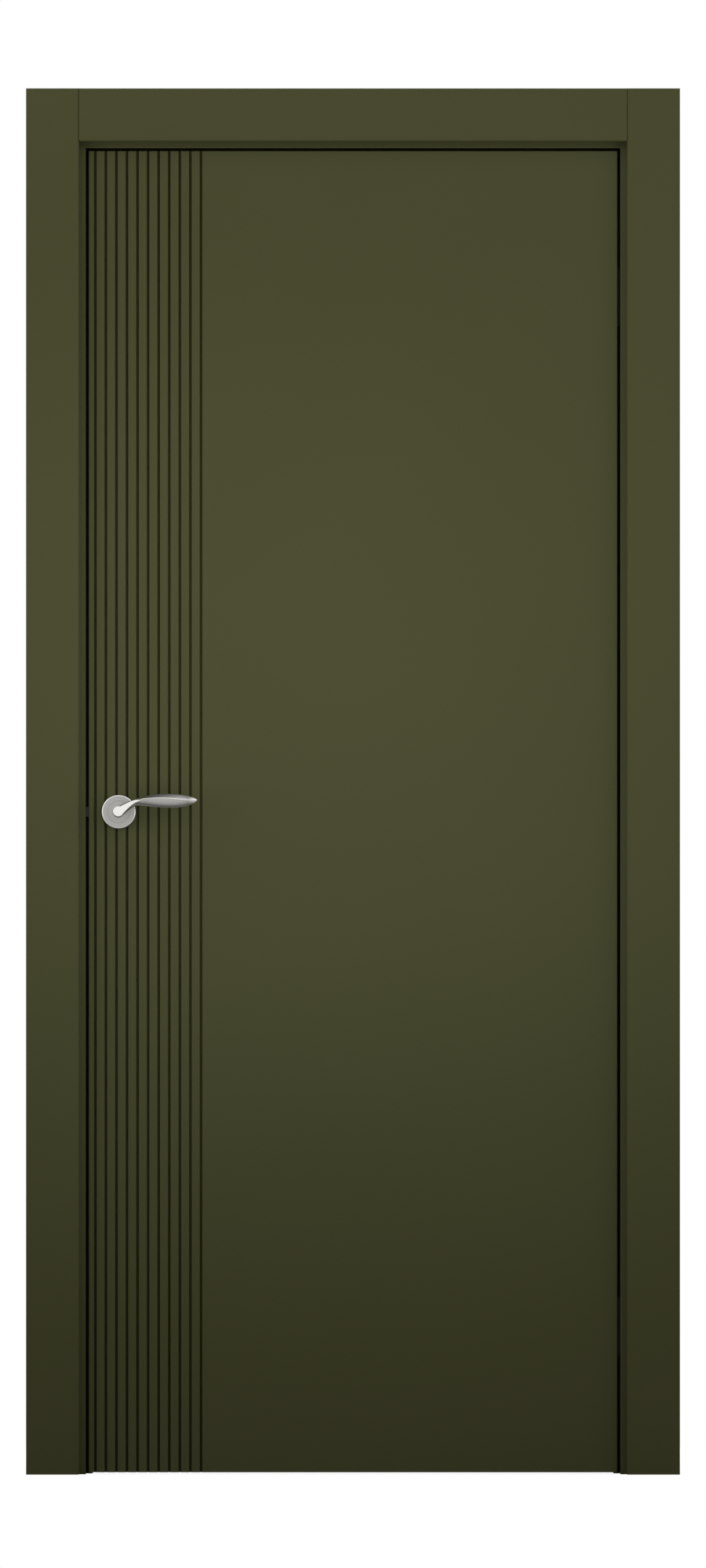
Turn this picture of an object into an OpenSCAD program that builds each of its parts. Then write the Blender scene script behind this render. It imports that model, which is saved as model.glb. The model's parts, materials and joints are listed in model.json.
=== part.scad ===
// Interior door set: a flush leaf with upright grooves, a frame with planted stops and plug-in
// architraves, concealed hinges and a lever latch.
// X runs along the wall, Y runs into it and Z is up. The origin lies on the floor, in the middle of
// the opening and of the leaf's thickness. The leaf opens towards -Y, with its hinges on the +X side.

/* [Leaf] */
// Width of the leaf
leaf_w = 800; // [600:10:1000]
// Height of the leaf
leaf_h = 2000; // [1800:10:2300]
// Thickness of the leaf
leaf_t = 40; // [38:1:50]
// Rounding of the long edges of leaf, rebate and stop
arris_r = 1.2; // [0.5:0.1:1.6]

/* [Grooves] */
// Number of upright grooves in the front face
groove_count = 11; // [1:1:20]
// Distance from the lock edge to the first groove
groove_first = 10; // [8:0.5:30]
// Distance between grooves
groove_pitch = 16; // [12:0.5:30]
// Width of a groove
groove_w = 3.6; // [2:0.1:6]
// Depth of a groove
groove_depth = 8; // [4:0.5:9]
// Rounding of a groove's shoulders
groove_shoulder_r = 1.2; // [0.5:0.1:2]

/* [Frame] */
// Gap between the leaf and the frame at the sides and the head
leaf_gap = 4.5; // [4:0.25:6]
// Gap between the leaf and the floor
floor_gap = 3; // [2:0.5:12]
// Thickness of the jambs and the head
jamb_t = 40; // [39:1:60]
// Depth of the frame, through the wall
frame_depth = 75; // [70:1:200]
// Width by which the stops stand proud of the jambs
stop_w = 10; // [8:0.5:20]
// Space for the seal between the leaf and the stop
seal_space = 3; // [2.5:0.25:5]
// Distance of the wall fixings from the floor and from the head
fixing_end = 110; // [80:1:150]
// Diameter of the wall fixing holes
fixing_d = 7; // [5:0.5:10]

/* [Architraves] */
// Width of an architrave
arch_w = 80; // [60:1:120]
// Thickness of an architrave
arch_t = 16; // [10:0.5:20]
// Frame that shows between the rebate and the architrave
reveal = 10; // [6:0.5:14]
// Rounding of an architrave's front edges
arch_edge_r = 2.5; // [1:0.25:4]
// Thickness of the tongue that plugs into the frame
tongue_t = 5; // [3:0.25:5.5]
// Length of the tongue
tongue_len = 12; // [8:0.5:16]

/* [Seal] */
// Thickness of the seal's fin in its kerf
fin_t = 3; // [2:0.25:4]
// Length of the seal's fin
fin_len = 8; // [5:0.5:12]
// Width of the seal's bulb
bulb_w = 7; // [5:0.25:8]

/* [Handle] */
// Height of the handle above the leaf's lower edge
handle_h = 1000; // [850:5:1150]
// Distance of the handle from the lock edge
backset = 45.5; // [44:0.5:60]
// Diameter of the rose
rose_d = 52; // [50:1:60]
// Thickness of the rose
rose_t = 8; // [7.5:0.5:12]
// Rounding of the rose's rim
rose_rim_r = 2; // [1:0.25:2.5]
// Wall of the rose
rose_wall = 1.6; // [1:0.1:2]
// Diameter of the lever's collar inside the rose
collar_d = 33; // [28:0.5:34]
// Diameter of the lever's shank
shank_d = 17; // [15:0.5:20]
// Distance from the leaf to the middle of the lever
lever_standoff = 50; // [42:1:60]
// Distance from the handle axis to the lever's tip
lever_reach = 120; // [105:1:135]
// Depth of the lever's blade at its ridge
blade_depth = 12; // [8:0.5:14]
// Side of the square spindle
spindle_w = 8; // [7:0.5:9]
// Distance between the rose bolts
rose_bolt_spacing = 38; // [36:0.5:40]

/* [Latch] */
// Height of the latch case
case_h = 30; // [28:0.5:31]
// Thickness of the latch case
case_t = 14; // [13:0.5:18]
// Wall of the latch case
case_wall = 1.2; // [0.8:0.1:1.6]
// Length of the case behind the handle axis
case_tail = 20; // [18:0.5:30]
// Height of the faceplate
faceplate_h = 60; // [56:1:80]
// Width of the faceplate and of the strike plate
faceplate_w = 24; // [22:0.5:28]
// Thickness of the faceplate
faceplate_t = 2.5; // [2:0.25:4]
// Height of the latch bolt
bolt_h = 15; // [12:0.5:16]
// Thickness of the latch bolt
bolt_t = 10; // [8:0.5:10.2]
// Length by which the latch bolt stands out of the faceplate
bolt_out = 10; // [9:0.25:11]
// Height of the strike plate
strike_h = 76; // [70:1:100]
// Thickness of the strike plate
strike_t = 2; // [1.5:0.25:3]

/* [Hinges] */
// Distance from the leaf's ends to the middle of the hinges
hinge_end = 220; // [200:5:400]
// Height of a hinge
hinge_h = 120; // [110:1:160]
// Depth of a hinge pin behind the edge that it sits in
pin_inset = 22; // [21.5:0.25:23]
// Depth of a hinge pin behind the front face
pin_depth = 9; // [8.75:0.25:9.25]
// Diameter of a hinge pin
pin_d = 5; // [4:0.25:5.5]
// Width of the hinge's curved arm
arm_w = 7; // [5:0.25:7.5]
// Wall at the back and the side of a hinge cup
cup_wall = 2; // [1.5:0.1:2.5]
// Solid ends of a hinge cup, which hold the pin and the screws
cup_end = 15; // [12:0.5:20]

/* [Hidden] */
$fn = 64;

// Colours as the door shows them
olive = [0.30, 0.30, 0.19];
steel = [0.66, 0.66, 0.66];
zinc = [0.17, 0.17, 0.18];
nylon = [0.13, 0.13, 0.13];
rubber = [0.12, 0.12, 0.10];

// Clearances
slack = 0.3;        // loose fits and faces that pass each other
pin_play = 0.06;    // hinge pin in the arm
seat_play = 0.02;   // pins, bolts and screws in their own carriers
tongue_play = 0.2;  // architrave tongue in its groove
over = 1;           // length by which cutters pass a face

// Frame places, measured from the rebate faces
face_y = -leaf_t / 2;
back_y = face_y + frame_depth;
rebate_x = leaf_w / 2 + leaf_gap;
rebate_z = floor_gap + leaf_h + leaf_gap;
stop_y = leaf_t / 2 + seal_space;
arch_top = rebate_z + reveal + arch_w;

// Hinge places
gap_mid_x = leaf_w / 2 + leaf_gap / 2;
pin_half = leaf_gap / 2 + pin_inset;
pin_y = face_y + pin_depth;
boss_r = pin_d / 2 + 2;
arm_drop = 3;
arm_r_in = pin_half - arm_w / 2 - 0.75;
arm_r_out = arm_r_in + arm_w;
cavity_front = pin_depth - boss_r - 1;
cavity_back = pin_depth - arm_drop + arm_r_out + 1;
cavity_in = pin_inset + boss_r + 1.5;
cup_front_wall = 1.5;
cup_depth = cavity_in + cup_wall;
cup_back = cavity_back + cup_wall;
cup_mid = (cavity_front + cavity_back) / 2;
upper_hinge_z = floor_gap + leaf_h - hinge_end;
lower_hinge_z = floor_gap + hinge_end;
pin_hold = 8;
cup_screw_r = 2.4;
cup_screw_head_r = 4.6;
cup_screw_len = cup_depth + 5;

// The tongue lies beyond the hinge cups
tongue_in = cup_depth + 1 + tongue_play;

// Handle and latch places
lock_x = -leaf_w / 2;
handle_x = lock_x + backset;
handle_z = floor_gap + handle_h;
case_front = faceplate_t;
lug_r = 11;
lug_w = 4;
hub_r = spindle_w * 0.5 * sqrt(2) + 2;
journal_r = hub_r - 1;
rose_bolt_r = 2;
rose_bolt_head_r = 3.6;
rose_bolt_head_t = 2.4;
collar_t = 2.5;
base_t = rose_t - collar_t - 0.5;
base_r = rose_d / 2 - rose_wall - slack;
plate_screw_r = 1.9;
plate_screw_head_r = 3.6;
plate_screw_len = 22;
faceplate_screw_z = faceplate_h / 2 - 7;
strike_screw_z = strike_h / 2 - 8;
spindle_hold = 25;

// Shared shapes

// Square corner minus a quarter round: cuts a rounded arris at the origin, into +X and +Y
module arris_cut(r) {
    difference() {
        translate([-over, -over])
            square(r + over);
        translate([r, r])
            circle(r);
    }
}

// Countersunk screw along +X, with its flush head at the origin
module screw(shank_r, head_r, length) {
    rotate([0, 90, 0]) {
        cylinder(h = head_r - shank_r, r1 = head_r, r2 = shank_r);
        cylinder(h = length, r = shank_r);
    }
}

// Cross recess for a screw's head, with the head's face at the origin
module cross_recess(head_r) {
    slot_w = head_r * 0.28;
    slot_len = head_r * 1.2;
    depth = head_r * 0.35;
    for (turn = [0, 90])
        rotate([turn, 0, 0])
            translate([-over, -slot_w / 2, -slot_len / 2])
                cube([depth + over, slot_w, slot_len]);
}

// Copies for the two hinges
module at_hinges() {
    for (z = [upper_hinge_z, lower_hinge_z])
        translate([0, 0, z])
            children();
}

// Screw places in a hinge cup's solid ends
module at_cup_screws() {
    for (side = [-1, 1])
        translate([0, face_y + cup_mid, side * (hinge_h - cup_end) / 2])
            children();
}

// Half a plane of the head: above the mitre lines that run out and up from the rebate corners
module head_zone() {
    low = stop_w + over;
    high = jamb_t + arch_w;
    rotate([90, 0, 0])
        linear_extrude(height = 4 * frame_depth, center = true)
            polygon([
                [low - rebate_x, rebate_z - low],
                [rebate_x - low, rebate_z - low],
                [rebate_x + high, rebate_z + high],
                [-rebate_x - high, rebate_z + high]
            ]);
}

// An upright on the hinge side from a profile of (distance from the rebate, depth), mitred at the head
module upright_run() {
    difference() {
        translate([rebate_x, 0, 0])
            linear_extrude(height = rebate_z + jamb_t)
                children();
        head_zone();
    }
}

// The head from the same profile, between the mitres
module head_run() {
    intersection() {
        translate([0, 0, rebate_z])
            rotate([0, -90, 0])
                linear_extrude(height = 2 * (rebate_x + jamb_t), center = true)
                    children();
        head_zone();
    }
}

// Frame

// Board with a groove for each architrave's tongue
module jamb_profile() {
    difference() {
        translate([0, face_y])
            square([jamb_t, frame_depth]);
        translate([0, face_y])
            arris_cut(arris_r);
        tongue_groove(face_y - over);
        tongue_groove(back_y - tongue_len - tongue_play);
    }
}

// Strip planted on the board, with a kerf for the seal's fin
module stop_profile() {
    translate([-stop_w, stop_y])
        difference() {
            square([stop_w, back_y - stop_y]);
            arris_cut(arris_r);
            translate([(stop_w - fin_t) / 2 - tongue_play, -over])
                square([fin_t + 2 * tongue_play, fin_len + tongue_play + over]);
        }
}

module tongue_groove(y) {
    translate([tongue_in - tongue_play, y])
        square([tongue_t + 2 * tongue_play, tongue_len + tongue_play + over]);
}

// Wall fixing holes through a jamb on the hinge side
module wall_fixings() {
    for (z = [fixing_end, rebate_z - fixing_end])
        translate([rebate_x - over, 0, z])
            rotate([0, 90, 0])
                cylinder(h = jamb_t + 2 * over, d = fixing_d);
}

module hinge_jamb() {
    color(olive)
        difference() {
            upright_run()
                jamb_profile();
            wall_fixings();
            at_hinges()
                cup_pocket();
        }
}

module lock_jamb() {
    color(olive)
        difference() {
            mirror([1, 0, 0])
                difference() {
                    upright_run()
                        jamb_profile();
                    wall_fixings();
                }
            translate([-rebate_x - strike_t, -faceplate_w / 2, handle_z - strike_h / 2])
                cube([strike_t + over, faceplate_w, strike_h]);
            strike_hole(bolt_out + 4);
            at_strike_screws()
                plate_screw_bore();
        }
}

module head_jamb() {
    color(olive)
        head_run()
            jamb_profile();
}

module hinge_stop() {
    color(olive)
        upright_run()
            stop_profile();
}

module lock_stop() {
    mirror([1, 0, 0])
        hinge_stop();
}

module head_stop() {
    color(olive)
        head_run()
            stop_profile();
}

// Architraves

// Plate and tongue in (distance from the rebate, depth), on the front of the frame
module arch_plate() {
    translate([reveal, face_y - arch_t])
        difference() {
            square([arch_w, arch_t]);
            arris_cut(arch_edge_r);
            translate([arch_w, 0])
                mirror([1, 0])
                    arris_cut(arch_edge_r);
        }
}

module arch_tongue() {
    translate([tongue_in, face_y - over])
        square([tongue_t, tongue_len + over]);
}

module side_architrave() {
    color(olive)
        translate([rebate_x, 0, 0]) {
            linear_extrude(height = arch_top)
                arch_plate();
            linear_extrude(height = rebate_z)
                arch_tongue();
        }
}

module head_architrave() {
    color(olive)
        translate([0, 0, rebate_z])
            rotate([0, -90, 0]) {
                linear_extrude(height = 2 * (rebate_x + reveal), center = true)
                    arch_plate();
                linear_extrude(height = 2 * rebate_x, center = true)
                    arch_tongue();
            }
}

// Turns a front architrave into the back one
module to_back() {
    translate([0, face_y + back_y, 0])
        mirror([0, 1, 0])
            children();
}

module front_hinge_architrave() {
    side_architrave();
}

module front_lock_architrave() {
    mirror([1, 0, 0])
        side_architrave();
}

module front_head_architrave() {
    head_architrave();
}

module back_hinge_architrave() {
    to_back()
        side_architrave();
}

module back_lock_architrave() {
    to_back()
        mirror([1, 0, 0])
            side_architrave();
}

module back_head_architrave() {
    to_back()
        head_architrave();
}

// Seals

// Fin in the kerf and a flattened bulb in front of the stop
module seal_profile() {
    bulb_t = seal_space - slack;
    translate([-stop_w / 2, stop_y]) {
        translate([-fin_t / 2, -bulb_t / 2])
            square([fin_t, fin_len + bulb_t / 2]);
        translate([-bulb_w / 2 + bulb_t / 2, -bulb_t])
            square([bulb_w - bulb_t, bulb_t]);
        for (side = [-1, 1])
            translate([side * (bulb_w - bulb_t) / 2, -bulb_t / 2])
                circle(bulb_t / 2);
    }
}

module hinge_seal() {
    color(rubber)
        upright_run()
            seal_profile();
}

module lock_seal() {
    color(rubber)
        mirror([1, 0, 0])
            upright_run()
                seal_profile();
}

module head_seal() {
    color(rubber)
        head_run()
            seal_profile();
}

// Leaf

// Slot with a round floor and round shoulders, cut into +Y
module groove() {
    half_w = groove_w / 2;
    translate([-half_w, -over])
        square([groove_w, groove_depth - half_w + over]);
    translate([0, groove_depth - half_w])
        circle(half_w);
    for (side = [0, 1])
        mirror([side, 0])
            translate([half_w, 0])
                difference() {
                    translate([-half_w, -over])
                        square([groove_shoulder_r + half_w, groove_shoulder_r + over]);
                    translate([groove_shoulder_r, groove_shoulder_r])
                        circle(groove_shoulder_r);
                }
}

module leaf_section() {
    difference() {
        square([leaf_w, leaf_t], center = true);
        for (sx = [0, 1], sy = [0, 1])
            mirror([sx, 0])
                mirror([0, sy])
                    translate([-leaf_w / 2, -leaf_t / 2])
                        arris_cut(arris_r);
        for (i = [0:groove_count - 1])
            translate([lock_x + groove_first + i * groove_pitch, face_y])
                groove();
    }
}

module leaf() {
    color(olive)
        difference() {
            translate([0, 0, floor_gap])
                linear_extrude(height = leaf_h)
                    leaf_section();
            mirrored_to_leaf()
                at_hinges()
                    cup_pocket();
            latch_pocket();
            at_rose_bolts()
                cylinder(h = leaf_t + 2 * over, r = rose_bolt_r + slack, center = true);
            at_handle()
                cylinder(h = leaf_t + 2 * over, r = shank_d / 2 + 1, center = true);
            at_faceplate_screws()
                plate_screw_bore();
        }
}

// Concealed hinges, drawn in the jamb and mirrored across the gap into the leaf

module mirrored_to_leaf() {
    translate([gap_mid_x, 0, 0])
        mirror([1, 0, 0])
            translate([-gap_mid_x, 0, 0])
                children();
}

module cup_pocket() {
    translate([rebate_x - over, face_y + cavity_front - cup_front_wall, -hinge_h / 2])
        cube([cup_depth + over, cup_back - cavity_front + cup_front_wall, hinge_h]);
    at_cup_screws()
        translate([rebate_x, 0, 0])
            screw(cup_screw_r + seat_play, cup_screw_head_r, cup_screw_len + slack);
}

module cup(z) {
    color(zinc)
        translate([0, 0, z])
            difference() {
                translate([rebate_x, face_y + cavity_front - cup_front_wall, -hinge_h / 2])
                    cube([cup_depth, cup_back - cavity_front + cup_front_wall, hinge_h]);
                translate([rebate_x - over, face_y + cavity_front, cup_end - hinge_h / 2])
                    cube([cavity_in + over, cavity_back - cavity_front, hinge_h - 2 * cup_end]);
                translate([gap_mid_x + pin_half, pin_y, 0])
                    cylinder(h = pin_length(), r = pin_d / 2 + seat_play, center = true);
                at_cup_screws()
                    translate([rebate_x, 0, 0])
                        screw(cup_screw_r + seat_play, cup_screw_head_r + seat_play, cup_screw_len);
            }
}

function pin_length() = hinge_h - 2 * cup_end + 2 * pin_hold;

module hinge_pin(z) {
    color(steel)
        translate([gap_mid_x + pin_half, pin_y, z])
            cylinder(h = pin_length(), d = pin_d, center = true);
}

// Crescent with an eye at each pin, bulging into the depth of the door
module hinge_arm(z) {
    color(zinc)
        translate([gap_mid_x, pin_y, z])
            linear_extrude(height = hinge_h - 2 * cup_end - 2 * slack, center = true)
                difference() {
                    union() {
                        difference() {
                            translate([0, -arm_drop])
                                circle(arm_r_out);
                            translate([0, -arm_drop])
                                circle(arm_r_in);
                            translate([-2 * arm_r_out, -2 * arm_r_out])
                                square([4 * arm_r_out, 2 * arm_r_out]);
                        }
                        for (side = [-1, 1])
                            translate([side * pin_half, 0])
                                circle(boss_r);
                    }
                    for (side = [-1, 1])
                        translate([side * pin_half, 0])
                            circle(pin_d / 2 + pin_play);
                }
}

module cup_screws() {
    color(steel)
        at_hinges()
            at_cup_screws()
                translate([rebate_x, 0, 0])
                    difference() {
                        screw(cup_screw_r, cup_screw_head_r, cup_screw_len);
                        cross_recess(cup_screw_head_r);
                    }
}

module upper_jamb_cup() {
    cup(upper_hinge_z);
}

module lower_jamb_cup() {
    cup(lower_hinge_z);
}

module upper_leaf_cup() {
    mirrored_to_leaf()
        cup(upper_hinge_z);
}

module lower_leaf_cup() {
    mirrored_to_leaf()
        cup(lower_hinge_z);
}

module upper_hinge_arm() {
    hinge_arm(upper_hinge_z);
}

module lower_hinge_arm() {
    hinge_arm(lower_hinge_z);
}

module upper_jamb_pin() {
    hinge_pin(upper_hinge_z);
}

module lower_jamb_pin() {
    hinge_pin(lower_hinge_z);
}

module upper_leaf_pin() {
    mirrored_to_leaf()
        hinge_pin(upper_hinge_z);
}

module lower_leaf_pin() {
    mirrored_to_leaf()
        hinge_pin(lower_hinge_z);
}

module jamb_cup_screws() {
    cup_screws();
}

module leaf_cup_screws() {
    mirrored_to_leaf()
        cup_screws();
}

// Latch, with its parts placed from the handle axis

// Children along Z become children along the handle axis, +Z towards the front
module at_handle() {
    translate([handle_x, 0, handle_z])
        rotate([90, 0, 0])
            children();
}

module at_faceplate_screws() {
    for (side = [-1, 1])
        translate([lock_x, 0, handle_z + side * faceplate_screw_z])
            children();
}

module at_strike_screws() {
    for (side = [-1, 1])
        translate([-rebate_x, 0, handle_z + side * strike_screw_z])
            mirror([1, 0, 0])
                children();
}

module plate_screw() {
    color(steel)
        difference() {
            screw(plate_screw_r, plate_screw_head_r, plate_screw_len);
            cross_recess(plate_screw_head_r);
        }
}

module plate_screw_bore() {
    screw(plate_screw_r + seat_play, plate_screw_head_r + seat_play, plate_screw_len + slack);
}

module latch_pocket() {
    translate([lock_x - over, -faceplate_w / 2, handle_z - faceplate_h / 2])
        cube([faceplate_t + over, faceplate_w, faceplate_h]);
    translate([lock_x, -case_t / 2 - slack, handle_z - case_h / 2 - slack])
        cube([backset + case_tail + slack, case_t + 2 * slack, case_h + 2 * slack]);
}

// The passage that the bolt slides through
module bolt_way(x0, x1) {
    translate([x0, -bolt_t / 2 - slack, handle_z - bolt_h / 2 - slack])
        cube([x1 - x0, bolt_t + 2 * slack, bolt_h + 2 * slack]);
}

module latch_case() {
    inner_h = case_h - 2 * case_wall;
    color(zinc)
        difference() {
            translate([lock_x + case_front, -case_t / 2, handle_z - case_h / 2])
                cube([backset + case_tail - case_front, case_t - case_wall, case_h]);
            translate([lock_x + case_front + case_wall, case_wall - case_t / 2, handle_z - inner_h / 2])
                cube([backset + case_tail - case_front - 2 * case_wall, case_t, inner_h]);
            bolt_way(lock_x, lock_x + case_front + case_wall + over);
            at_handle()
                cylinder(h = case_t + 2 * over, r = journal_r + pin_play);
        }
}

module latch_cover() {
    color(zinc)
        difference() {
            translate([lock_x + case_front, case_t / 2 - case_wall, handle_z - case_h / 2])
                cube([backset + case_tail - case_front, case_wall, case_h]);
            at_handle()
                cylinder(h = 2 * case_t, r = journal_r + pin_play, center = true);
        }
}

module latch_faceplate() {
    color(steel)
        difference() {
            translate([lock_x, -faceplate_w / 2, handle_z - faceplate_h / 2])
                cube([faceplate_t, faceplate_w, faceplate_h]);
            bolt_way(lock_x - over, lock_x + faceplate_t + over);
            at_faceplate_screws()
                plate_screw_bore();
        }
}

module faceplate_screws() {
    at_faceplate_screws()
        plate_screw();
}

// Hub on two journals, with a square hole and a lug that draws the bolt
module latch_follower() {
    inner_t = case_t - 2 * case_wall - 2 * slack;
    color(zinc)
        at_handle()
            difference() {
                union() {
                    cylinder(h = inner_t, r = hub_r, center = true);
                    cylinder(h = case_t, r = journal_r, center = true);
                    translate([-lug_w / 2, 0, -inner_t / 4])
                        cube([lug_w, lug_r, inner_t / 2]);
                }
                cube([spindle_w + slack, spindle_w + slack, case_t + 2 * over], center = true);
            }
}

// Bevelled head, a neck and a tail that reaches over the hub and hooks behind the lug
module latch_bolt() {
    inner_h = case_h - 2 * case_wall;
    head_back = lock_x + case_front + case_wall + bolt_t;
    tail_low = hub_r + slack;
    tail_high = inner_h / 2 - slack;
    hook_x = handle_x + lug_w / 2 + slack;
    hook_w = 3;
    bar_low = lug_r + 2 * slack;
    tail_t = bolt_t * 0.6;
    color(nylon)
        translate([0, 0, handle_z]) {
            difference() {
                translate([lock_x - bolt_out, -bolt_t / 2, -bolt_h / 2])
                    cube([head_back - lock_x + bolt_out, bolt_t, bolt_h]);
                translate([lock_x - bolt_out, bolt_t / 2, 0])
                    rotate([0, 0, -45])
                        cube([2 * bolt_t, 2 * bolt_t, bolt_h + 2 * over], center = true);
            }
            translate([head_back - over, -tail_t / 2, 0])
                cube([2 * over, tail_t, tail_high]);
            translate([head_back - over, -tail_t / 2, bar_low])
                cube([hook_x + hook_w - head_back + over, tail_t, tail_high - bar_low]);
            translate([hook_x, -tail_t / 2, tail_low])
                cube([hook_w, tail_t, tail_high - tail_low]);
        }
}

// Hole in the strike plate and the jamb behind it, as deep as asked from the rebate
module strike_hole(depth) {
    translate([-rebate_x - depth, -bolt_t / 2 - 2 * slack, handle_z - bolt_h / 2 - 1])
        cube([depth + over, bolt_t + 4 * slack, bolt_h + 2]);
}

module strike_plate() {
    color(steel)
        difference() {
            translate([-rebate_x - strike_t, -faceplate_w / 2, handle_z - strike_h / 2])
                cube([strike_t, faceplate_w, strike_h]);
            strike_hole(strike_t + over);
            at_strike_screws()
                plate_screw_bore();
        }
}

module strike_screws() {
    at_strike_screws()
        plate_screw();
}

// Roses and levers, drawn on the front and mirrored to the back

// Children along Z from the leaf's front face
module on_front() {
    at_handle()
        translate([0, 0, leaf_t / 2])
            children();
}

module on_back() {
    mirror([0, 1, 0])
        on_front()
            children();
}

module at_rose_bolts() {
    at_handle()
        for (side = [-1, 1])
            translate([0, side * rose_bolt_spacing / 2, 0])
                children();
}

// Turned cover with a round rim, open in the middle for the lever's collar
module rose() {
    r = rose_d / 2;
    color(steel)
        rotate_extrude()
            difference() {
                union() {
                    square([r, rose_t - rose_rim_r]);
                    square([r - rose_rim_r, rose_t]);
                    translate([r - rose_rim_r, rose_t - rose_rim_r])
                        circle(rose_rim_r);
                }
                translate([-over, -over])
                    square([r - rose_wall + over, rose_t - rose_wall + over]);
                translate([-over, -over])
                    square([collar_d / 2 + slack + over, rose_t + 2 * over]);
                translate([-2 * r, -over])
                    square([2 * r, rose_t + 2 * over]);
            }
}

// Disc that is bolted to the leaf and carries the lever's shank
module rose_base() {
    color(zinc)
        difference() {
            cylinder(h = base_t, r = base_r);
            translate([0, 0, -over])
                cylinder(h = base_t + 2 * over, r = shank_d / 2 + pin_play);
            for (side = [-1, 1])
                translate([0, side * rose_bolt_spacing / 2, -over]) {
                    cylinder(h = base_t + 2 * over, r = rose_bolt_r + seat_play);
                    translate([0, 0, base_t - rose_bolt_head_t + over])
                        cylinder(h = rose_bolt_head_t + over, r = rose_bolt_head_r + seat_play);
                }
        }
}

module front_rose() {
    on_front()
        rose();
}

module back_rose() {
    on_back()
        rose();
}

module front_rose_base() {
    on_front()
        rose_base();
}

module back_rose_base() {
    on_back()
        rose_base();
}

module rose_bolts() {
    half_len = leaf_t / 2 + base_t;
    color(steel)
        at_rose_bolts() {
            cylinder(h = 2 * half_len, r = rose_bolt_r, center = true);
            for (side = [0, 1])
                mirror([0, 0, side])
                    translate([0, 0, half_len - rose_bolt_head_t])
                        cylinder(h = rose_bolt_head_t, r = rose_bolt_head_r);
        }
}

module spindle() {
    color(steel)
        at_handle()
            cube([spindle_w, spindle_w, leaf_t + 2 * spindle_hold], center = true);
}

// Lever: a flat-faced root, a flat-topped neck that flows out of it and a ridged blade

function bezier(p, t) =
    p[0] * pow(1 - t, 3) + 3 * p[1] * t * pow(1 - t, 2) + 3 * p[2] * t * t * (1 - t) + p[3] * pow(t, 3);

function smooth(a, b, t) =
    let (u = min(1, max(0, (t - a) / (b - a))))
    u * u * (3 - 2 * u);

// Edges of the lever seen from the front, as curves from the handle axis to the tip
root_r = shank_d / 2;
root_edge_r = 2;
root_proud = 0.05;
neck_start_r = root_r - 1.2;
neck_r = 6.25;
neck_turn = 27.6;
neck_share = 0.28;
tip = [lever_reach, 17.8];
top_join = [28, 20.3];
low_join = [31, 8.8];
blade_len = lever_reach - top_join[0];
top_neck = [neck_start_r * [-sin(neck_turn), cos(neck_turn)], [8, 12.6], [18, 16.6], top_join];
low_neck = [neck_start_r * [sin(neck_turn), -cos(neck_turn)], [9.5, -5.8], [20, 11], low_join];
top_blade = [top_join, top_join + [0.24 * blade_len, 8.7], tip + [-0.19 * blade_len, 13.2], tip];
low_blade = [low_join, low_join + [0.34 * blade_len, -2.3], tip + [-0.15 * blade_len, -17.8], tip];

function edge(neck, blade, t) =
    t < neck_share ? bezier(neck, t / neck_share) : bezier(blade, (t - neck_share) / (1 - neck_share));

// Half of the depth: the neck's, then the blade's own, thinning to the tip
function half_depth(t) =
    let (full = neck_r + (blade_depth / 2 - neck_r) * smooth(0.1, 0.45, t))
    full * sqrt(1 - pow(max(0, t - 0.5) / 0.56, 2.6));

// The ridge seen from the front: its height where the blade begins, at its highest and at the tip
ridge_peak_x = top_join[0] + 0.39 * blade_len;
ridge_z = [19.9, 21.3, 19];

function ridge_height(x) =
    x < ridge_peak_x
        ? ridge_z[0] + (ridge_z[1] - ridge_z[0]) * smooth(top_join[0], ridge_peak_x, x)
        : ridge_z[1] + (ridge_z[2] - ridge_z[1]) * smooth(ridge_peak_x, lever_reach, x);

// Its place between the lower edge, -1, and the upper edge, 1: low at the root, rising across the neck
ridge_most = 0.9;
ridge_blend = 0.05;

function ridge_place(t, top, low) =
    let (mid = (top + low) / 2, half = max(0.01, (top[1] - low[1]) / 2))
    let (on_blade = min(ridge_most, max(-ridge_most, (ridge_height(mid[0]) - mid[1]) / half)))
    let (on_neck = -ridge_most + 2.2 * t + 9.5 * t * t)
    -ridge_blend * ln(exp(-on_neck / ridge_blend) + exp(-on_blade / ridge_blend));

// Front of the section: on the neck a bevel up to the ridge and a flat face above it, on the blade a round
// and a slope
low_edge = -0.15;
top_edge = -0.05;

function on_blade_share(t) = smooth(0.2, 0.42, t);

function side_depth(f, t) =
    low_edge + (1 - low_edge) * pow(f, 0.8 - 0.3 * on_blade_share(t));

function face_depth(f, t) =
    let (slope = on_blade_share(t))
    let (bend = pow(f, 1 + 19 * pow(1 - slope, 2)))
    top_edge + (1 - top_edge) * pow(max(0, 1 - bend), 0.5 + 0.15 * slope);

// Round back between the edges, at an angle from the upper one
function back_depth(a) =
    let (mid = (low_edge + top_edge) / 2)
    mid + (top_edge - low_edge) / 2 * cos(a) - (1 + mid) * sin(a);

side_steps = [0, 0.04, 0.14, 0.32, 0.6];
face_steps = [0, 0.3, 0.6, 0.82, 0.95, 1];
back_steps = 9;

// Points of (height, depth) around the section
function section(ridge, t) = concat(
    [for (f = side_steps) [f * (ridge + 1) - 1, side_depth(f, t)]],
    [for (f = face_steps) [ridge + f * (1 - ridge), face_depth(f, t)]],
    [for (k = [1:back_steps]) let (a = 180 * k / (back_steps + 1)) [cos(a), back_depth(a)]]
);

section_n = len(side_steps) + len(face_steps) + back_steps;
lever_steps = 36;
tip_end = 0.985;

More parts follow.
